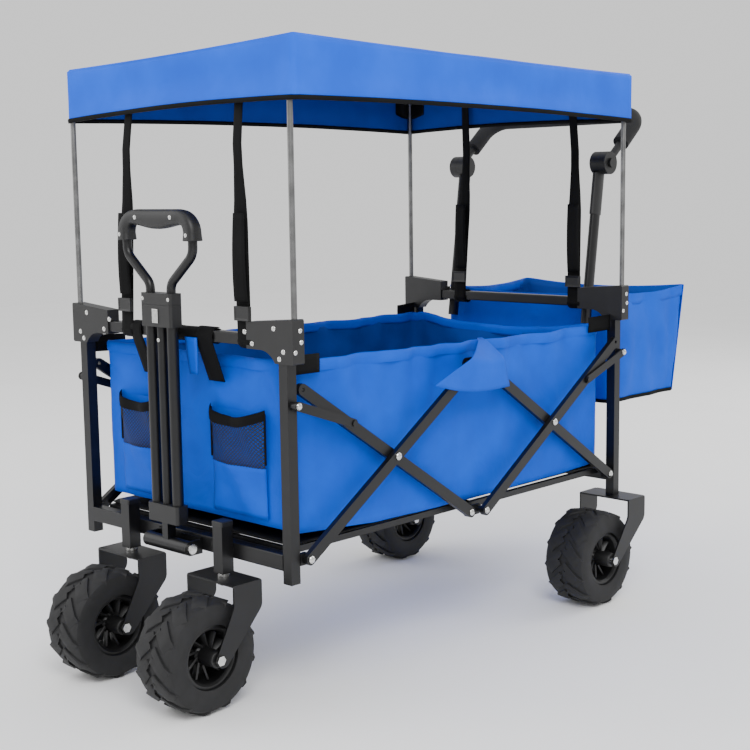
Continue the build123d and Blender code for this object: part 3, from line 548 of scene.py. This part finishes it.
def lifted(x, y):
    """How much a place rises towards the corner over the front left pole, 0 to 1."""
    return (0.5 + x / canopy_half_w / 2) * (0.5 - (y - canopy_mid) / canopy_half_l / 2)


def hem_z(x, y, nx, ny):
    """The valance's lower edge, bowed up a little along each side."""
    return canopy_low.z + 0.001 + 0.006 * canopy_span(x, y, nx, ny) + 0.009 * lifted(x, y)


rows = []
for step in range(13):
    share = step / 12
    row = []
    for x, y, nx, ny in around:
        low_z = hem_z(x, y, nx, ny)
        z = low_z + (roof_z - 0.004 + 0.014 * lifted(x, y) - low_z) * share
        span = canopy_span(x, y, nx, ny)
        draw = 0.005 * span * math.sin(math.pi * min(1, share * 1.1)) ** 2
        fold = span * (ripple(x, y, 0, 120, 5, 3) + ripple(x, y, z, 45, 1.6, 5)) * (1 - 0.7 * share)
        inward = draw - fold + waist * span
        row.append((x - nx * inward, y - ny * inward, z))
    rows.append(row)
for inset, rise in ((0.0015, 0.0012), (0.004, 0.004)):
    row = []
    for x, y, nx, ny in around:
        span = canopy_span(x, y, nx, ny)
        inward = inset + waist * span
        row.append((x - nx * inward, y - ny * inward, roof_z - 0.004 + 0.014 * lifted(x, y) + rise - 0.002 * span))
    rows.append(row)
for share in (0.94, 0.86, 0.76, 0.64, 0.52, 0.4, 0.28, 0.16, 0.06):
    row = []
    for x, y, nx, ny in around:
        px, py = x * share, canopy_mid + (y - canopy_mid) * share
        edge = max(abs(px) / canopy_half_w, abs(py - canopy_mid) / canopy_half_l)
        rise = 0.006 * (1 - edge) + ripple(px, py, 0, 160, 5, 9) * (1 - edge ** 4)
        row.append((px, py, roof_z + 0.014 * lifted(x, y) * share + rise))
    rows.append(row)
rows = [[(x + 0.009 * max(0.0, x / canopy_half_w), y, z) for x, y, z in row] for row in rows]
canopy_skin = woven("canopy_skin", rows, closed=True, capped=True)
show(canopy_skin, blue_polyester, "canopy")
# The inner face takes the darker blue: painted shade under the canopy.
thicken(canopy_skin, 0.0009, canopy_underside_painted_shade)
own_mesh(canopy_skin)
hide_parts("canopy_cover")
deep = roof_z - canopy_low.z

# The binding: a folded black tape, stitched over the valance's lower edge.
rows = []
for out, rise in ((0.0012, 0.0068), (0.0020, 0.0040), (0.0014, -0.0002), (-0.0022, -0.0002), (-0.0026, 0.0040),
                  (-0.0020, 0.0068), (0.0012, 0.0068)):
    row = []
    for (x, y, nx, ny), hem in zip(around, canopy_skin.data.vertices):
        row.append((hem.co.x + nx * out, hem.co.y + ny * out, hem.co.z + rise))
    rows.append(row)
canopy_binding = woven("canopy_binding", rows, closed=True)
show(canopy_binding, black_webbing, "canopy")
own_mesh(canopy_binding)

# Black patches inside the corners, where the poles' tops sit.
for end, sy in (("front", -1), ("rear", 1)):
    for name, sx in (("left", 1), ("right", -1)):
        rows = []
        for k in range(9):
            z = roof_z - 0.006 - 0.052 * k / 8
            row = []
            for x, y, nx, ny in outline(canopy_half_w - 0.0045, canopy_half_l - 0.0045, 0.012, (88, 140), canopy_mid):
                reach = abs(abs(x) - canopy_half_w) + abs(abs(y - canopy_mid) - canopy_half_l)
                if x * sx > 0 and (y - canopy_mid) * sy > 0 and reach < 0.052:
                    row.append((x, y, z + 0.010 * (reach / 0.052) ** 2 * (k / 8)))
            rows.append(row)
        patch = woven(f"corner_patch_{end}_{name}", [sorted(r, key=lambda p: (p[0] * sx * sy, p[1])) for r in rows])
        show(patch, black_polyester, "canopy")
        thicken(patch, 0.0012)
        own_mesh(patch)


# ---- Basket -------------------------------------------------------------------------------------------
# A box of blue cloth, hung between the frames: slack sides that belly out over the bars' crossings, a
# rolled hem at the rim and a black board under the floor.
basket_low, basket_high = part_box("basket")
basket_half_w = (basket_high.x - basket_low.x) / 2
basket_half_l = (basket_high.y - basket_low.y) / 2
rim_line = [(-0.403, 0.535), (-0.383, 0.531), (-0.289, 0.530), (-0.204, 0.530), (-0.091, 0.527), (0.0, 0.527),
            (0.187, 0.523), (0.394, 0.524), (0.403, 0.530)]
foot_line = [(-0.403, 0.276), (-0.391, 0.272), (-0.227, 0.259), (-0.087, 0.256), (0.092, 0.256), (0.302, 0.258),
             (0.403, 0.262)]


def along(line, value):
    """A height read between the pairs of (along the cart, height) on either side of a place."""
    for (a, za), (b, zb) in zip(line, line[1:]):
        if value <= b:
            return za + (zb - za) * max(0.0, min(1.0, (value - a) / (b - a)))
    return line[-1][1]


def rim_z(x, y):
    """The rim's height: level along the sides, lower in the middle of the rear end."""
    dip = 0.022 if y > mid_y + 0.38 else 0.004 if y < mid_y - 0.38 else 0.0
    return along(rim_line, y - mid_y) - dip * bowed(x, basket_half_w)


def basket_point(x, y, nx, ny, share):
    """A point of the wall at a share of its height, with its belly, its folds and its creases."""
    low_z = along(foot_line, y - mid_y)
    z = low_z + (rim_z(x, y) - low_z) * share
    side = abs(nx) > abs(ny)
    span = bowed(y - mid_y, basket_half_l) if side else bowed(x, basket_half_w)
    belly = (0.008 if side else 0.004) * min(1, span * 2) * math.sin(math.pi * share) * (1.1 - share)
    folds = min(1, span * 3) * (ripple(x * 1.5, y * 2.2, z * 0.6, 95, 9, 1) + ripple(x, y * 1.4, z * 1.6, 42, 4.0, 2))
    folds += 0.0045 * min(1, span * 4) * math.sin((y + x) * 46 + 3 * math.sin(z * 14)) * share ** 2
    out = belly + folds * (0.35 + 0.65 * share)
    return (x + nx * out, y + ny * out, z)


around = outline(basket_half_w - 0.002, basket_half_l - 0.002, 0.022, (44, 76), mid_y)
rows = [[basket_point(x, y, nx, ny, 1 - k / 24) for x, y, nx, ny in around] for k in range(25)]
for inset in (0.003, 0.009):
    rows.append([(x - nx * inset, y - ny * inset, along(foot_line, y - mid_y) - 0.3 * inset)
                 for x, y, nx, ny in around])
for share in (0.9, 0.75, 0.58, 0.4, 0.22, 0.08):
    rows.append([(x * share, mid_y + (y - mid_y) * share, along(foot_line, (y - mid_y) * share) - 0.001
                  + ripple(x * share, y * share, 0, 80, 1.5, 4)) for x, y, nx, ny in around])
basket_skin = woven("basket_skin", rows, closed=True, capped=True)
show(basket_skin, basket_polyester, "top_hub")
# The inner face takes the darker blue: painted shade inside the basket.
thicken(basket_skin, 0.0022, blue_inside_painted_shade)
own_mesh(basket_skin)
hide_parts("basket")

# The hem: a rolled double edge, sewn round the rim.
rows = []
for out, rise in ((0.0012, -0.016), (0.0026, -0.012), (0.0030, -0.006), (0.0024, 0.000), (0.0, 0.0024),
                  (-0.0030, 0.0016), (-0.0042, -0.004), (-0.0038, -0.012), (-0.0030, -0.016), (0.0012, -0.016)):
    rows.append([(base[0] + nx * out, base[1] + ny * out, base[2] + rise + ripple(base[0], base[1], 0, 40, 1.2, 6))
                 for (x, y, nx, ny) in around for base in (basket_point(x, y, nx, ny, 1.0),)])
basket_hem = woven("basket_hem", rows, closed=True)
show(basket_hem, basket_polyester, "top_hub")
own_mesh(basket_hem)

# The floor board: four stiff black panels in a cloth sleeve, on the floor rails.
board_rows = []
for half_w, half_l, z in ((0.216, 0.396, 0.2526), (0.228, 0.401, 0.2530), (0.2315, 0.4035, 0.2552),
                          (0.228, 0.401, 0.2572), (0.2, 0.39, 0.2574)):
    board_rows.append([(x, y, z) for x, y, nx, ny in outline(half_w, half_l, 0.016, (16, 28), mid_y)])
floor_board = woven("floor_board", board_rows, closed=True, capped=True)
show(floor_board, black_polyester, "top_hub")
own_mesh(floor_board)


# ---- Rear bag -----------------------------------------------------------------------------------------
# A deep cloth bag hung behind the rear posts: walls that sag between its corners, a rolled top hem, black tape along
# the bottom edge and blue folded seams up its rear corners.
bag_low, bag_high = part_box("rear_bag")
bag_half_w = (bag_high.x - bag_low.x) / 2
bag_slope = 0.041


def bag_row(share, inset=0.0, drop=0.0, slack=1.0):
    """One level ring of the bag, at a share of its height."""
    back = bag_high.y - bag_slope * (1 - share)
    middle = (bag_low.y + back) / 2
    z = bag_low.z + (bag_high.z - bag_low.z) * share
    row = []
    half_w, half_l = bag_half_w - 0.002 - inset, (back - bag_low.y) / 2 - 0.002 - inset
    for x, y, nx, ny in outline(half_w, half_l, 0.018, (44, 30), middle):
        span = bowed(x, bag_half_w) if abs(ny) > abs(nx) else bowed(y - middle, (back - bag_low.y) / 2)
        belly = -0.006 * span * share ** 2 + 0.004 * span * math.sin(math.pi * share)
        folds = slack * min(1, span * 3) * (ripple(x * 2, y * 2, z * 0.5, 80, 6, 7) + ripple(x, y, z, 34, 1.8, 8))
        lip = -0.010 * span * share ** 3
        out = belly + folds - 0.003 * span
        row.append((x + nx * out, y + ny * out, z + lip - drop))
    return row


rows = [bag_row(1 - k / 16) for k in range(17)]
for inset in (0.004, 0.012, 0.03, 0.06, 0.09, 0.115):
    rows.append(bag_row(0, inset=inset, drop=0.001))
bag_skin = woven("bag_skin", rows, closed=True, capped=True)
show(bag_skin, basket_polyester, "root")
# The inner face takes the darker blue: painted shade inside the bag.
thicken(bag_skin, 0.0020, blue_inside_painted_shade)
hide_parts("rear_bag")
bag_deep, bag_long = bag_high.z - bag_low.z, bag_high.y - bag_low.y
for name, share, height, out in (("bag_hem", 1.0, 0.020, 0.0022), ("bag_tape", 0.0, 0.007, 0.0014)):
    top = bag_row(share)
    flat = outline(bag_half_w - 0.002, bag_long / 2, 0.018, (44, 30), 0)
    rows = []
    steps = ((1, 0.0), (1, 0.25), (1, 0.6), (1, 1.0), (-1, 1.0), (-1, 0.6), (-1, 0.2), (0.3, 0.0), (1, 0.0))
    for way, fall in steps:
        lift = -height * fall + (0.0016 if fall < 0.3 else 0) if share else height * fall - 0.0012
        rows.append([(x + n[2] * out * way, y + n[3] * out * way, z + lift) for (x, y, z), n in zip(top, flat)])
    piece = woven(name, rows, closed=True)
    show(piece, basket_polyester if share else black_webbing, "root")
for name, sx in (("left", 1), ("right", -1)):
    rows = []
    for k in range(17):
        share = k / 16
        z = bag_low.z + (bag_high.z - bag_low.z) * share
        back = bag_high.y - bag_slope * (1 - share) - 0.006
        rows.append([(sx * (bag_half_w - 0.0115), back + 0.0030, z), (sx * (bag_half_w - 0.0065), back + 0.0012, z),
                     (sx * (bag_half_w - 0.0030), back - 0.0035, z)])
    seam = woven(f"bag_seam_{name}", rows)
    show(seam, basket_polyester, "root")
    thicken(seam, 0.0016, offset=0.0)


# ---- Canopy straps ------------------------------------------------------------------------------------
# Black webbing, one pair at each end: narrow where it's sewn to the canopy, wider and doubled below the
# adjuster, and looped once round the top rail.
rail_z = 0.565
straps = {"front_left": (0.148, 0.1695, "front"), "front_right": (-0.117, -0.120, "front"),
          "rear_left": (0.158, 0.1645, "rear"), "rear_right": (-0.104, -0.122, "rear")}
for name, (top_x, low_x, end) in straps.items():
    line_y = front_y if end == "front" else rear_y
    low_body, top_body = ("front_frame", "front_canopy_poles") if end == "front" else ("root", "canopy")
    rows = []
    for k in range(41):
        share = k / 40
        z = roof_z - 0.012 - (roof_z - 0.012 - rail_z) * share
        x = top_x + (low_x - top_x) * share
        wide = 0.0085 + 0.005 * max(0.0, min(1.0, (share - 0.38) / 0.2))
        turn_by = 0.22 * math.sin(share * 2.6)
        y = line_y - 0.0105 * min(1, max(0, (share - 0.5) * 2)) - 0.003 * math.sin(math.pi * share)
        y += (0.014 if end == "front" else -0.014) * max(0.0, 1 - share / 0.3)
        rows.append([(x + wide * w * math.cos(turn_by), y + wide * w * math.sin(turn_by) * 0.7, z)
                     for w in (-1, -0.5, 0, 0.5, 1)])
    for angle in range(0, 300, 20):
        a = math.radians(angle)
        reach = 0.0128
        rows.append([(low_x + 0.0135 * w, line_y - reach * math.cos(a), rail_z - 0.001 - reach * math.sin(a))
                     for w in (-1, -0.5, 0, 0.5, 1)])
    webbing = woven(f"canopy_strap_{name}", rows)
    webbing.data.materials.append(black_webbing)
    thicken(webbing, 0.0013, offset=0.0)
    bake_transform(webbing)
    rows = []
    for k in range(15):
        share = k / 14
        z = 0.752 - 0.13 * share
        x = low_x + (top_x - low_x) * 0.22 + 0.004 * share
        y = line_y - 0.012 - 0.0045 * math.sin(2.4 * share)
        rows.append([(x + 0.0125 * w, y + 0.002 * w * share, z) for w in (-1, -0.5, 0, 0.5, 1)])
    tail = woven(f"canopy_strap_tail_{name}", rows)
    show(tail, black_webbing, low_body)
    thicken(tail, 0.0013, offset=0.0)
    bpy.ops.mesh.primitive_cube_add(size=1, location=(low_x, line_y - 0.0135, 0.604))
    buckle = bpy.context.object
    buckle.name = f"strap_adjuster_{name}"
    buckle.scale = (0.033, 0.0065, 0.022)
    bpy.ops.object.transform_apply(location=True, rotation=True, scale=True)
    bpy.ops.object.mode_set(mode="EDIT")
    bpy.ops.mesh.select_all(action="SELECT")
    bpy.ops.mesh.inset(thickness=0.004, use_individual=True)
    bpy.ops.transform.shrink_fatten(value=-0.0012)
    bpy.ops.object.mode_set(mode="OBJECT")
    rounding = buckle.modifiers.new("rounding", "BEVEL")
    rounding.width = 0.0012
    rounding.segments = 2
    show(buckle, black_nylon, low_body)
for end in ("front", "rear"):
    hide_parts(f"{end}_straps")


# ---- Front pockets and loops ----------------------------------------------------------------------------
# Two bottle pockets on the front wall: a blue patch below, slack black net above and a sagging black
# binding; webbing loops with a stitched end carry them from the rail.
pocket_net, tree, surface, place = start_material("black_net", 0.7, colour="#0A0A0B")
turned_place = add_node(tree, "ShaderNodeMapping", {"Rotation": (0, math.radians(45), 0)}, {"Vector": place})
split = add_node(tree, "ShaderNodeSeparateXYZ", links={"Vector": turned_place.outputs["Vector"]})
strands = []
for axis in ("X", "Z"):
    scaled = add_node(tree, "ShaderNodeMath", {1: 1000 / 4.2}, {0: split.outputs[axis]}, operation="MULTIPLY")
    part = add_node(tree, "ShaderNodeMath", links={0: scaled.outputs[0]}, operation="FRACT")
    strands.append(add_node(tree, "ShaderNodeMath", {1: 0.34}, {0: part.outputs[0]}, operation="LESS_THAN"))
either = add_node(tree, "ShaderNodeMath", links={0: strands[0].outputs[0], 1: strands[1].outputs[0]},
                  operation="MAXIMUM")
tree.links.new(either.outputs[0], surface.inputs["Alpha"])

wall_y = basket_low.y - 0.001
for name, px in (("left", 0.118), ("right", -0.118)):
    def pocket_point(u, z, out, sag=0.0):
        """A point of the pocket: u across from -1 to 1, z up, standing out from the wall."""
        x = px + 0.063 * u
        y = wall_y - out * (1 - u ** 4) * (1 + 0.25 * math.sin(5 * u + z * 40)) - 0.002
        return (x, y + ripple(x, 0, z, 24, 2.0, 11), z - sag * (1 - u * u))
    us = [-1 + k / 12 for k in range(25)]
    patch = woven(f"pocket_patch_{name}", [[pocket_point(u, 0.286 + 0.080 * k / 10, 0.010 * k / 10 + 0.001) for u in us]
                                           for k in range(11)])
    show(patch, basket_polyester, "top_hub")
    thicken(patch, 0.0014)
    net = woven(f"pocket_net_{name}", [[pocket_point(u, 0.366 + 0.078 * k / 12, 0.011 + 0.007 * k / 12, 0.014 * k / 12)
                                        for u in us] for k in range(13)])
    show(net, pocket_net, "top_hub")
    band = woven(f"pocket_band_{name}", [[pocket_point(u, 0.4425 + rise, 0.018 + out, 0.014) for u in us]
                                         for out, rise in ((0.0022, -0.002), (0.0030, 0.006), (0.0018, 0.014),
                                                           (-0.0010, 0.014), (-0.0014, 0.005), (-0.0010, -0.002))])
    show(band, black_webbing, "top_hub")
    heights = [0.366 + 0.085 * k / 8 for k in range(9)]
    back = woven(f"pocket_back_{name}", [
        [(px + 0.062 * u, wall_y - 0.0022 + ripple(px + 0.06 * u, 0, z, 30, 1.0, 12), z) for u in us]
        for z in heights])
    show(back, basket_polyester, "top_hub")
    edges = []
    for sx in (-1, 1):
        edge = woven(f"pocket_side_{name}_{'left' if sx > 0 else 'right'}",
                     [[(px + sx * 0.063 + w, wall_y - 0.0035, 0.372 + 0.079 * k / 10) for w in (-0.0018, 0.0, 0.0018)]
                      for k in range(11)])
        show(edge, black_webbing, "top_hub")
        thicken(edge, 0.0014, offset=0.0)
        edges.append(edge)
    for piece in (patch, net, band, back, *edges):
        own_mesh(piece)

loops = {"loop_right": (-0.097, 0.014), "loop_left": (0.074, 0.019)}
for name, (lx, half) in loops.items():
    rows = []
    for k in range(13):
        share = k / 12
        z = 0.492 + (rail_z - 0.004 - 0.492) * share
        y = wall_y - 0.0045 + (front_y - 0.0115 - wall_y + 0.0045) * share
        rows.append([(lx + half * w, y, z) for w in (-1, -0.5, 0, 0.5, 1)])
    for angle in range(0, 140, 20):
        a = math.radians(angle)
        rows.append([(lx + half * w, front_y - 0.0118 * math.cos(a), rail_z + 0.002 + 0.0112 * math.sin(a))
                     for w in (-1, -0.5, 0, 0.5, 1)])
    loop = woven(f"rail_{name}", rows)
    show(loop, black_webbing, "front_frame")
    thicken(loop, 0.0014, offset=0.0)

# A black cloth sleeve round the middle of the front rail, with a blue pull tab below it.
rows = []
for k in range(13):
    a = math.tau * k / 12
    rows.append([(x, front_y + (0.0125 + ripple(x, a, 0, 30, 1.5, 14)) * math.cos(a),
                  rail_z + (0.0125 + ripple(x, a, 1, 30, 1.5, 14)) * math.sin(a)) for x in
                 [-0.010 + 0.105 * j / 14 for j in range(15)]])
sleeve = woven("rail_sleeve", rows)
show(sleeve, black_polyester, "front_frame")
thicken(sleeve, 0.0012)
tab = woven("pull_tab", [[(0.046 + 0.014 * w * (1 - 0.35 * (k / 8) ** 2), front_y - 0.0135 + 0.004 * k / 8,
                           rail_z - 0.004 - 0.058 * k / 8) for w in (-1, -0.5, 0, 0.5, 1)] for k in range(9)])
show(tab, basket_polyester, "front_frame")
thicken(tab, 0.0016, offset=0.0)

# Short webbing tabs that hold the rim's corners to the posts.
for end, line_y, inward, body in (("front", front_y, 1, "front_frame"), ("rear", rear_y, -1, "root")):
    for name, sx in (("left", 1), ("right", -1)):
        rows = []
        for k in range(9):
            share = k / 8
            y = line_y + inward * (0.012 + 0.060 * share)
            z = 0.530 - 0.002 * share
            x = sx * (0.2475 - 0.0065 * share)
            rows.append([(x + sx * 0.0012, y, z + 0.0145), (x + sx * 0.0016, y, z + 0.005),
                         (x + sx * 0.0016, y, z - 0.005), (x + sx * 0.0008, y, z - 0.0145)])
        piece = woven(f"rim_tab_{end}_{name}", rows)
        show(piece, black_webbing, body)
        thicken(piece, 0.0018, offset=0.0)


# ---- Pull handle's grip ---------------------------------------------------------------------------------
# Two moulded nylon shells riveted over the yoke's ends: a bar with full shoulders that swells down into
# the fingers, and legs that flare a little at their feet.
grip_low, grip_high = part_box("pull_grip")
grip_y, leg_x = (grip_low.y + grip_high.y) / 2, grip_high.x - 0.014
bar_z, turn_r = grip_high.z - 0.014, 0.024
path = [(-leg_x, grip_low.z + 0.0004 + (bar_z - turn_r - grip_low.z) * k / 6, 0.0) for k in range(7)]
for k in range(1, 9):
    a = math.radians(90 * k / 8)
    path.append((-leg_x + turn_r * (1 - math.cos(a)), bar_z - turn_r + turn_r * math.sin(a), a))
path += [(-leg_x + turn_r + (leg_x - turn_r) * k / 10, bar_z, math.pi / 2) for k in range(1, 11)]
path += [(-x, z, math.pi - a) for x, z, a in reversed(path[:-1])]
rows = []
for index, (x, z, a) in enumerate(path):
    belly = 0.0060 * max(0.0, 1 - (x / 0.050) ** 2) ** 1.5 if a == math.pi / 2 else 0.0
    flare = 0.0012 * max(0.0, 1 - (z - grip_low.z) / 0.012) if abs(x) > leg_x - 0.001 else 0.0
    pinch = 0.0012 * math.sin(min(1.0, abs(abs(x) - leg_x) / 0.030) * math.pi)
    across, deep = 0.0124 + belly / 2 + flare - pinch, 0.0128 + flare - 0.5 * pinch
    row = []
    for k in range(28):
        b = math.tau * k / 28
        c, d = math.cos(b), math.sin(b)
        u = across * math.copysign(abs(c) ** 0.72, c)
        v = deep * math.copysign(abs(d) ** 0.72, d)
        row.append((x - u * math.cos(a), grip_y + v, z + u * math.sin(a) - belly / 2))
    if index in (0, len(path) - 1):
        middle = sum((Vector(q) for q in row), Vector()) / 28
        ends = [[tuple(middle.lerp(Vector(q), share)) for q in row] for share in (0.55, 0.94)]
        rows += ends + [[(q[0], q[1], q[2] + 0.0008) for q in row]] if index == 0 else \
            [[(q[0], q[1], q[2] + 0.0008) for q in row]] + ends[::-1]
    else:
        rows.append(row)
pull_shells = woven("pull_grip_shells", rows, closed=True, capped=True)
show(pull_shells, black_nylon, "pull_slider")
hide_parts("pull_grip")
rivet_heads("grip_rivets", [((x, grip_y - 0.0126, z), (0, -1, 0)) for x, z in
                            ((-0.044, bar_z), (0.044, bar_z), (-leg_x - 0.003, grip_low.z + 0.009),
                             (leg_x - 0.001, grip_low.z + 0.009))], 0.0036, "pull_slider")
low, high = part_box("pull_collar")
rivet_heads("collar_rivets", [((s * (high.x - 0.006), low.y, (low.z + high.z) / 2), (0, -1, 0)) for s in (1, -1)],
            0.0032, "pull_slider")
rivet_heads("centre_tube_rivet", [((0, grip_y - 0.0082, 0.556), (0, -1, 0))], 0.0034, "pull_handle")


# ---- Side flaps -----------------------------------------------------------------------------------------
# A pointed flap of the basket's cloth on each side, turned out over the linkage at the middle: its tip at
# the rim, its curved lower edge below the hinge plates.
for name, sx in (("left", 1), ("right", -1)):
    rows = []
    for k in range(17):
        v = k / 16
        y_fore, y_back = 0.026 - 0.161 * v, 0.038 + 0.020 * v
        row = []
        for j in range(21):
            u = j / 20
            y = mid_y + y_fore + (y_back - y_fore) * u
            z = 0.532 - (0.060 + 0.022 * u) * v - 0.010 * v * math.sin(math.pi * u)
            out = 0.2395 + 0.0435 * min(1.0, v * 2.4) ** 0.8 + ripple(y, v, 0, 60, 1.6, 15) * v
            row.append((sx * out, y, z))
        rows.append(row)
    flap = woven(f"side_flap_{name}", rows)
    show(flap, basket_polyester, "top_hub")
    thicken(flap, 0.0016, offset=0.0)
